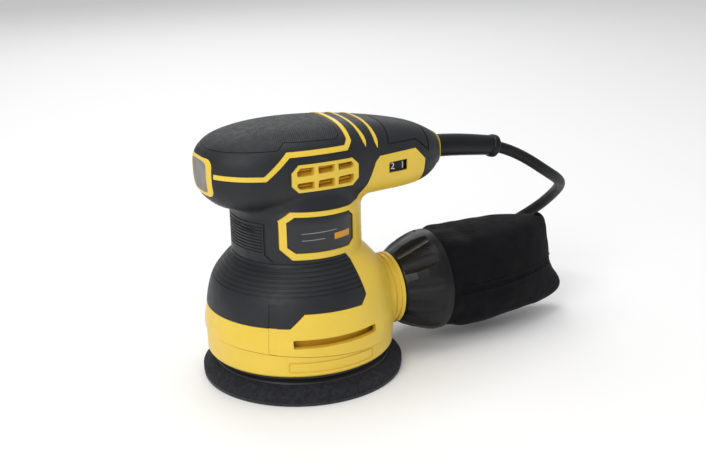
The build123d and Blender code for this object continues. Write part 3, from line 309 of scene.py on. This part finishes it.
def skin_rings(form, rings):
    """Faces between closed rings of vertices that follow each other, and a cap at both ends."""
    for ring, following in zip(rings, rings[1:]):
        for step in range(len(ring)):
            beside = (step + 1) % len(ring)
            form.faces.new((ring[step], ring[beside], following[beside], following[step]))
    form.faces.new(rings[0])
    form.faces.new(rings[-1])


def mesh_from(form, name):
    bmesh.ops.recalc_face_normals(form, faces=form.faces)
    mesh = bpy.data.meshes.new(name)
    form.to_mesh(mesh)
    form.free()
    return mesh


def smooth(mesh):
    for polygon in mesh.polygons:
        polygon.use_smooth = True


def settled(piece):
    """Replace the piece's mesh with what its modifiers make of it at the current frame."""
    graph = bpy.context.evaluated_depsgraph_get()
    made = bpy.data.meshes.new_from_object(piece.evaluated_get(graph))
    piece.modifiers.clear()
    old = piece.data
    piece.data = made
    bpy.data.meshes.remove(old)


def rounded(piece, levels):
    rounding = piece.modifiers.new("rounding", "SUBSURF")
    rounding.levels = levels
    rounding.render_levels = levels
    settled(piece)


# ---------------------------------------------------------------- mains cord

CORD_D = 0.0075
CORD_ROUTE = [
    (143.6, 0, 122.2),
    (153, 0, 119),
    (168.5, 0, 110.4),
    (183.8, 0, 99.6),
    (198.3, 6.3, 90.4),
    (209.5, 18.1, 81.9),
    (216.7, 36, 69.5),
    (214.6, 53.9, 54.1),
    (201.6, 71.8, 38.2),
    (181.4, 80.6, 22.7),
    (159.9, 85.6, 11.2),
    (135.9, 85.5, 4.4),
    (110.5, 80.8, 3.8),
    (84, 78.2, 3.8),
]
COIL_CENTRE = (58.0, 124.0)
COIL_RADII = (38.2, 45.8)
COIL_LEVELS = (3.8, 11.3, 18.8)
TURN_POINTS = 16
TURN_PITCH = 2 * pi / TURN_POINTS
CROSSING_POINTS = 4
LAST_TURN_POINTS = 10
CORD_TAIL = [
    (91.5, 141, 20.5),
    (97, 130.5, 23.2),
    (99.5, 119, 25.8),
    (98.5, 108, 27.6),
    (94.5, 98.5, 29.0),
    (88, 91, 30.4),
    (80, 86, 31.8),
    (71, 82.6, 32.9),
    (61.9, 81, 33.5),
    (54, 80.5, 33.6),
]


def coil_points():
    """Wound turns, side by side and then one layer up, from the free cord to the tail."""
    outer, inner = COIL_RADII[1], COIL_RADII[0]
    rings = []
    for layer, level in enumerate(COIL_LEVELS):
        pair = (outer, inner) if layer % 2 == 0 else (inner, outer)
        rings += [(radius, level) for radius in pair]
    points = []
    for index, (radius, level) in enumerate(rings):
        last = index == len(rings) - 1
        next_radius, next_level = rings[index if last else index + 1]
        for step in range(LAST_TURN_POINTS if last else TURN_POINTS):
            shift = max(0, step - TURN_POINTS + CROSSING_POINTS) / CROSSING_POINTS
            angle = -pi / 2 - TURN_PITCH * step
            reach = radius + (next_radius - radius) * shift
            height = level + (next_level - level) * shift
            points.append((
                COIL_CENTRE[0] + reach * cos(angle), COIL_CENTRE[1] + reach * sin(angle), height,
            ))
    return points


def cord_line():
    """The whole cord as one spline: the free stretch, the wound turns and the tail to the plug."""
    curve = bpy.data.curves.new("mains_cord", "CURVE")
    curve.dimensions = "3D"
    curve.bevel_depth = CORD_D / 2
    curve.bevel_resolution = 5
    curve.resolution_u = 8
    curve.use_fill_caps = True
    route = [*CORD_ROUTE, *coil_points(), *CORD_TAIL]
    spline = curve.splines.new("NURBS")
    spline.points.add(len(route) - 1)
    for point, place in zip(spline.points, route):
        point.co = (place[0] / 1000, place[1] / 1000, place[2] / 1000, 1)
    spline.order_u = 3
    spline.use_endpoint_u = True
    cord = new_piece("mains_cord", curve, SLOT_MATERIALS["jacket"], "housing")
    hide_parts("power_cord", "cord_coil", "cord_tail")
    return cord


cord = cord_line()

# ---------------------------------------------------------------- dust bag

MM = 0.001
# how far to the side a ray that looks for a surface starts
OUTSIDE_Y = 90
BAG_MOUTH_X = 92.4
BAG_MOUTH_R = 31.2
BAG_AXIS_Z = 40.0
BAG_HALF_WIDTH = 29.5
BAG_END_HALF_WIDTH = 0.9
BAG_LOW_Z = 8.6
BAG_HIGH_Z = 71.6
BAG_RING_POINTS = 48
BAG_STATIONS = 30
# the share of the length over which the round mouth turns into the flat-sided bag
BAG_MOUTH_SHARE = 0.16
# exponents of the outline across the bag: 2 is an ellipse, more is squarer
BAG_MOUTH_SQUARENESS = 2.0
BAG_BODY_SQUARENESS = 3.4
BAG_VOXEL = 0.003
BAG_CAP = 0.004
BAG_PRESSURE = 1.2
BAG_HELD_L = 2.5
CLOTH_FRAMES = 20
# gathers at the mouth, slow waves and sharper creases: how deep each one is
GATHER_COUNT = 11
GATHER_DEPTH = 0.75
GATHER_REACH = 16
WAVE_DEPTH = 1.3
CREASE_DEPTH = 0.8
SEAM_DEPTH = 1.5
SEAM_HALF_WIDTH = 1.7
GUSSET_DEPTH = 1.6
# end edge in side view: height, then how far back the cloth reaches
BAG_END = [
    (6.4, 172.0), (9.5, 184.0), (12.5, 191.5), (16.0, 196.0), (19.5, 196.4), (25.0, 193.4),
    (33.0, 187.6), (42.0, 185.2), (55.0, 184.9), (64.0, 184.2), (69.5, 181.6), (72.4, 176.0),
]
SEAM_START_Z = 38.6
SEAM_RISE = 0.035
STITCH_L = 2.3
STITCH_PITCH = 3.5
STITCH_COUNT = 23
STITCH_START_X = 103
STITCH_LIFTS = (2.6, -2.8)
STITCH_R = 0.38
STITCH_SIDES = 6
STITCH_HOVER = 0.25
# thickness shares of a stitch along its length
STITCH_PROFILE = ((0, 0.35), (0.25, 1), (0.75, 1), (1, 0.35))
# the binding's half section: how far in from the edge, and half its thickness there
BINDING_PROFILE = ((5.2, 1.9), (2.2, 2.1), (0.2, 1.5))
BINDING_FOLD = -0.7


def along(table, value):
    """Straight interpolation in a table of (input, output) pairs."""
    if value <= table[0][0]:
        return table[0][1]
    for (low, start), (high, stop) in zip(table, table[1:]):
        if value <= high:
            return start + (stop - start) * (value - low) / (high - low)
    return table[-1][1]


def bag_point(share, angle):
    """A point of the flat-ended bag: share runs from the mouth to the sewn end."""
    mouth = max(0.0, 1 - share / BAG_MOUTH_SHARE)
    blend = mouth * mouth * (3 - 2 * mouth)
    power = 2 / (BAG_BODY_SQUARENESS - (BAG_BODY_SQUARENESS - BAG_MOUTH_SQUARENESS) * blend)
    half_y = BAG_HALF_WIDTH * (1 - share ** 2.6) ** 0.55 + BAG_END_HALF_WIDTH
    low = BAG_LOW_Z + 3.4 * max(0.0, share - 0.7) / 0.3
    high = BAG_HIGH_Z - 1.8 * max(0.0, share - 0.85) / 0.15
    half_y = half_y * (1 - blend) + BAG_MOUTH_R * blend
    low = low * (1 - blend) + (BAG_AXIS_Z - BAG_MOUTH_R) * blend
    high = high * (1 - blend) + (BAG_AXIS_Z + BAG_MOUTH_R) * blend
    across = abs(cos(angle)) ** power * (1 if cos(angle) >= 0 else -1)
    upward = abs(sin(angle)) ** power * (1 if sin(angle) >= 0 else -1)
    y = half_y * across
    z = (low + high) / 2 + (high - low) / 2 * upward
    x = BAG_MOUTH_X + share * (along(BAG_END, z) - BAG_MOUTH_X)
    return Vector((x, y, z)) * MM


def bag_form():
    form = bmesh.new()
    rings = []
    for station in range(BAG_STATIONS + 1):
        share = station / BAG_STATIONS
        rings.append([
            form.verts.new(bag_point(share, 2 * pi * step / BAG_RING_POINTS))
            for step in range(BAG_RING_POINTS)
        ])
    skin_rings(form, rings)
    return mesh_from(form, "dust_bag_cloth")


def simulate(piece, pressure, cap, pinned):
    """Inflate a closed cloth form, holding the pinned points, and cap how far any point moves."""
    before = [vertex.co.copy() for vertex in piece.data.vertices]
    held = piece.vertex_groups.new(name="held")
    held.add([index for index, co in enumerate(before) if pinned(co)], 1.0, "REPLACE")
    cloth = piece.modifiers.new("cloth", "CLOTH")
    cloth.settings.quality = 6
    cloth.settings.mass = 0.25
    cloth.settings.tension_stiffness = 18
    cloth.settings.compression_stiffness = 18
    cloth.settings.bending_stiffness = 0.6
    cloth.settings.use_pressure = True
    cloth.settings.uniform_pressure_force = pressure
    cloth.settings.vertex_group_mass = "held"
    cloth.settings.effector_weights.gravity = 0
    cloth.collision_settings.use_collision = False
    cloth.point_cache.frame_start = 1
    cloth.point_cache.frame_end = CLOTH_FRAMES
    for step in range(1, CLOTH_FRAMES + 1):
        scene.frame_set(step)
    settled(piece)
    scene.frame_set(1)
    for vertex, start in zip(piece.data.vertices, before):
        moved = vertex.co - start
        if moved.length > cap:
            vertex.co = start + moved.normalized() * cap


def seam_height(x):
    return SEAM_START_Z + SEAM_RISE * (x - 100)


def dress_bag(mesh):
    """Folds, the side seams and the gusset that is tucked in below them."""
    mesh.update()
    normals = [vertex.normal.copy() for vertex in mesh.vertices]
    for vertex, normal in zip(mesh.vertices, normals):
        x, y, z = vertex.co / MM
        angle = atan2(z - BAG_AXIS_Z, y)
        past_mouth = max(0.0, x - BAG_MOUTH_X - 1.5)
        fade = min(1.0, past_mouth / 8)
        gather = GATHER_DEPTH * cos(GATHER_COUNT * angle + 0.6) * exp(-past_mouth / GATHER_REACH)
        slow = noise.noise(Vector((x / 30, y / 24, z / 24 + 3.0)))
        crease = noise.noise(Vector((x / 15, y / 40 + 7.0, (z + 0.45 * x) / 12)))
        height = fade * (gather + WAVE_DEPTH * slow + CREASE_DEPTH * crease)
        side = min(1.0, max(0.0, abs(y) - 8) / 8)
        gap = z - seam_height(x)
        height -= side * fade * SEAM_DEPTH * exp(-((gap / SEAM_HALF_WIDTH) ** 2))
        if gap < 0:
            tuck = min(1.0, -gap / 5) * min(1.0, max(0.0, z - 12) / 8)
            height -= side * fade * GUSSET_DEPTH * tuck
        vertex.co += normal * height * MM


bag = new_piece("dust_bag_cloth", bag_form(), SLOT_MATERIALS["bag_cloth"], "bag")
remesh = bag.modifiers.new("remesh", "REMESH")
remesh.mode = "VOXEL"
remesh.voxel_size = BAG_VOXEL
settled(bag)
simulate(bag, BAG_PRESSURE, BAG_CAP, lambda co: co.x < (BAG_MOUTH_X + BAG_HELD_L) * MM)
rounded(bag, 1)
dress_bag(bag.data)
smooth(bag.data)
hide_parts("dust_bag")


def stitch(form, start, end):
    """A short capped rod between two points, thinner at its ends."""
    axis = (end - start).normalized()
    side = axis.orthogonal().normalized()
    other = axis.cross(side)
    rings = []
    for share, reach in STITCH_PROFILE:
        ring = []
        for step in range(STITCH_SIDES):
            angle = 2 * pi * step / STITCH_SIDES
            outward = cos(angle) * side + sin(angle) * other
            ring.append(form.verts.new(start.lerp(end, share) + STITCH_R * MM * reach * outward))
        rings.append(ring)
    skin_rings(form, rings)


def stitch_row(form, surface, places):
    """Stitches laid on the cloth along a row of (origin, direction) rays."""
    hits = []
    for origin, direction in places:
        hit, place, normal, _ = surface.ray_cast(origin, direction)
        hits.append((place + normal * STITCH_HOVER * MM) if hit else None)
    for first, second in zip(hits[::2], hits[1::2]):
        if first and second:
            stitch(form, first, second)


def bag_stitching():
    form = bmesh.new()
    for side in (-1, 1):
        for lift in STITCH_LIFTS:
            row = []
            for step in range(STITCH_COUNT):
                for offset in (0, STITCH_L):
                    x = STITCH_START_X + step * STITCH_PITCH + offset
                    origin = Vector((x, side * OUTSIDE_Y, seam_height(x) + lift)) * MM
                    row.append((origin, Vector((0, -side, 0))))
            stitch_row(form, bag, row)
    mesh = mesh_from(form, "bag_stitches")
    smooth(mesh)
    return mesh


thread = moulded(
    "bag_thread", (0.004, 0.004, 0.005), (0.007, 0.007, 0.008), 0.8, Specular_IOR_Level=0.1,
)
new_piece("bag_stitches", bag_stitching(), thread, "bag")


def bag_binding():
    """A folded tape sewn over the end edge of the bag."""
    form = bmesh.new()
    rings = []
    edge = [(x, z) for z, x in BAG_END]
    section = [(inset, -half) for inset, half in BINDING_PROFILE]
    section += [(BINDING_FOLD, 0), *reversed(BINDING_PROFILE)]
    for index, (x, z) in enumerate(edge):
        before = Vector(edge[max(index - 1, 0)])
        after = Vector(edge[min(index + 1, len(edge) - 1)])
        heading = (after - before).normalized()
        outward = Vector((heading.y, -heading.x))
        ring = []
        for inset, y in section:
            spot = Vector((x, z)) - outward * inset
            ring.append(form.verts.new(Vector((spot.x, y, spot.y)) * MM))
        rings.append(ring)
    skin_rings(form, rings)
    mesh = mesh_from(form, "bag_binding")
    smooth(mesh)
    return mesh


binding = new_piece("bag_binding", bag_binding(), SLOT_MATERIALS["bag_cloth"], "bag")
rounded(binding, 2)

# ---------------------------------------------------------------- dial numbers

DIAL_CENTRE = (56.8, -17.2)
DIAL_R = 9.8
DIAL_MIDDLE_Z = 128.5
DIGIT_HEIGHT = 4.3
# a digit's height as a share of the font's size
DIGIT_SIZE_SHARE = 0.72
DIGIT_HALF_T = 0.06
DIGIT_HOVER = 0.02
DIGIT_STEP = radians(41)
DIGIT_FIRST = radians(20.5)


def dial_digit(number):
    """A printed digit, bent round the wheel's rim."""
    words = bpy.data.curves.new(f"digit_{number}", "FONT")
    words.body = str(number)
    words.size = DIGIT_HEIGHT / DIGIT_SIZE_SHARE * MM
    words.align_x = "CENTER"
    words.align_y = "CENTER"
    words.extrude = DIGIT_HALF_T * MM
    carrier = bpy.data.objects.new(f"digit_{number}", words)
    scene.collection.objects.link(carrier)
    graph = bpy.context.evaluated_depsgraph_get()
    mesh = bpy.data.meshes.new_from_object(carrier.evaluated_get(graph))
    bpy.data.objects.remove(carrier)
    middle = DIGIT_FIRST - DIGIT_STEP * (number - 1)
    for vertex in mesh.vertices:
        angle = middle + vertex.co.x / (DIAL_R * MM)
        reach = (DIAL_R + DIGIT_HOVER) * MM + vertex.co.z
        height = DIAL_MIDDLE_Z * MM + vertex.co.y
        vertex.co = Vector((
            DIAL_CENTRE[0] * MM + reach * sin(angle), DIAL_CENTRE[1] * MM - reach * cos(angle), height,
        ))
    return mesh


print_white = moulded("print_white", (0.62, 0.62, 0.62), (0.72, 0.72, 0.72), 0.5, 0.000006)
for number in range(1, 7):
    new_piece(f"dial_digit_{number}", dial_digit(number), print_white, "dial")

# ---------------------------------------------------------------- inner walls behind the vents

SIDES = ((-1, "left"), (1, "right"))
EXHAUST_Z = (34.2, 42.2)
EXHAUST_REACH = 28.5
BAFFLE_R = 52.6
BAFFLE_T = 1.0
BAFFLE_HALF_STEPS = 12
VENT_ROWS = (137.3, 127.9)
VENT_SPAN = (-15.5, 24.5)
LOUVRE_RISE = (-2.3, -0.2)
LOUVRE_INSET = 4.4
LOUVRE_DEPTH = 2.6
LOUVRE_SLOPE = 1.7
LOUVRE_T = 0.9
LOUVRE_STEPS = 12


def closed_grid(name, outer, inner):
    """A thin closed slab between two equal grids of points."""
    form = bmesh.new()
    sheets = [[[form.verts.new(point * MM) for point in row] for row in grid] for grid in (outer, inner)]
    rows, columns = len(outer), len(outer[0])
    for sheet in sheets:
        for row in range(rows - 1):
            for column in range(columns - 1):
                form.faces.new((
                    sheet[row][column], sheet[row][column + 1],
                    sheet[row + 1][column + 1], sheet[row + 1][column],
                ))
    rim = [(0, column) for column in range(columns - 1)]
    rim += [(row, columns - 1) for row in range(rows - 1)]
    rim += [(rows - 1, column) for column in range(columns - 1, 0, -1)]
    rim += [(row, 0) for row in range(rows - 1, 0, -1)]
    for place, following in zip(rim, rim[1:] + rim[:1]):
        form.faces.new((
            sheets[0][place[0]][place[1]], sheets[0][following[0]][following[1]],
            sheets[1][following[0]][following[1]], sheets[1][place[0]][place[1]],
        ))
    return mesh_from(form, name)


def exhaust_baffle(side):
    """The curved inner wall that turns the motor air out through the side slot."""
    spread = asin(EXHAUST_REACH / BAFFLE_R)
    angles = [spread * (step / BAFFLE_HALF_STEPS - 1) for step in range(2 * BAFFLE_HALF_STEPS + 1)]

    def wall(radius):
        return [
            [
                Vector((radius * sin(angle), side * radius * cos(angle), height))
                for angle in angles
            ]
            for height in EXHAUST_Z
        ]

    return closed_grid(f"exhaust_baffle_{side}", wall(BAFFLE_R), wall(BAFFLE_R - BAFFLE_T))


def side_surface(node, x, z, side):
    """Where a level ray from one side first meets a CAD node, and the surface's normal there."""
    piece = frame["nodes"][node]
    origin = Vector((x, side * OUTSIDE_Y, z)) * MM
    _, place, normal, _ = piece.ray_cast(origin, Vector((0, -side, 0)))
    return place / MM, normal


def louvre(row, rise, side):
    """A sloped slat just inside the vent openings, following the wall."""
    node = "housing_left" if side < 0 else "housing_right"
    outer, inner = [], []
    for lift in (0, LOUVRE_T):
        upper, lower = [], []
        for step in range(LOUVRE_STEPS + 1):
            x = VENT_SPAN[0] + (VENT_SPAN[1] - VENT_SPAN[0]) * step / LOUVRE_STEPS
            wall, _ = side_surface(node, x, sum(VENT_ROWS) / 2, side)
            y = wall.y - side * LOUVRE_INSET
            height = row + rise + lift
            upper.append(Vector((x, y, height - LOUVRE_SLOPE / 3)))
            lower.append(Vector((x, y - side * LOUVRE_DEPTH, height + LOUVRE_SLOPE * 2 / 3)))
        outer.append(upper)
        inner.append(lower)
    return closed_grid("louvre", outer, inner)


# the inner walls and the slats behind the vents take the painted shade yellow, not the lit yellow shell
# colour
for side, name in SIDES:
    new_piece(f"exhaust_baffle_{name}", exhaust_baffle(side), painted_shade_yellow, "housing")
    for index, row in enumerate(VENT_ROWS):
        for count, rise in enumerate(LOUVRE_RISE):
            new_piece(
                f"louvre_{name}_{index}_{count}", louvre(row, rise, side), painted_shade_yellow, "housing",
            )

# ---------------------------------------------------------------- printed bars on the label plates

# the print's outer and inner face, measured out from the plate
PRINT_LIFTS = (0.07, -0.1)
PRINT_STEP = 1.5


def decal(name, node, corner, size, side):
    """A thin printed block that follows a label plate."""
    columns = max(3, int(size[0] / PRINT_STEP))
    faces = []
    for lift in PRINT_LIFTS:
        grid = []
        for row in range(3):
            line = []
            for column in range(columns + 1):
                x = corner[0] + size[0] * column / columns
                z = corner[1] + size[1] * row / 2
                place, normal = side_surface(node, x, z, side)
                line.append(place + normal * lift)
            grid.append(line)
        faces.append(grid)
    return closed_grid(name, *faces)


LABEL_PRINT = [
    ("block", (7.5, 93.8), (11.5, 3.8), orange_print),
    ("rule_upper", (-13.0, 99.6), (22.0, 0.5), grey_print),
    ("rule_lower", (-13.0, 95.4), (14.0, 0.5), grey_print),
]
for side, name in SIDES:
    for part, corner, size, ink in LABEL_PRINT:
        title = f"label_{part}_{name}"
        block = decal(title, f"label_plate_{name}", corner, size, side)
        new_piece(title, block, ink, "housing")

# ---------------------------------------------------------------- floor and light

FLOOR_HALF = 6
floor_data = bpy.data.meshes.new("floor")
floor_corners = [(x * FLOOR_HALF, y * FLOOR_HALF, 0) for x, y in ((-1, -1), (1, -1), (1, 1), (-1, 1))]
floor_data.from_pydata(floor_corners, [], [(0, 1, 2, 3)])
floor = bpy.data.objects.new("floor", floor_data)
scene.collection.objects.link(floor)
floor_shader = Shader("floor", (0.93, 0.93, 0.93), 0.8)
floor.data.materials.append(floor_shader.material)

world = bpy.data.worlds.new("studio")
world.use_nodes = True
world.node_tree.nodes["Background"].inputs["Color"].default_value = (1, 1, 1, 1)
world.node_tree.nodes["Background"].inputs["Strength"].default_value = 0.48
scene.world = world


def softbox(name, place, target, size, power):
    light = bpy.data.lights.new(name, "AREA")
    light.shape = "RECTANGLE"
    light.size, light.size_y = size
    light.energy = power
    lamp = bpy.data.objects.new(name, light)
    lamp.location = place
    lamp.rotation_euler = (Vector(target) - Vector(place)).to_track_quat("-Z", "Y").to_euler()
    scene.collection.objects.link(lamp)


softbox("key", (-0.9, -0.75, 0.85), (0.03, 0, 0.08), (0.8, 0.8), 8.6)
softbox("top", (0.0, 0.15, 1.3), (0.05, 0, 0.08), (0.9, 0.9), 8)
softbox("back", (0.35, 1.15, 0.72), (0.05, 0, 0.1), (0.9, 0.6), 2.8)
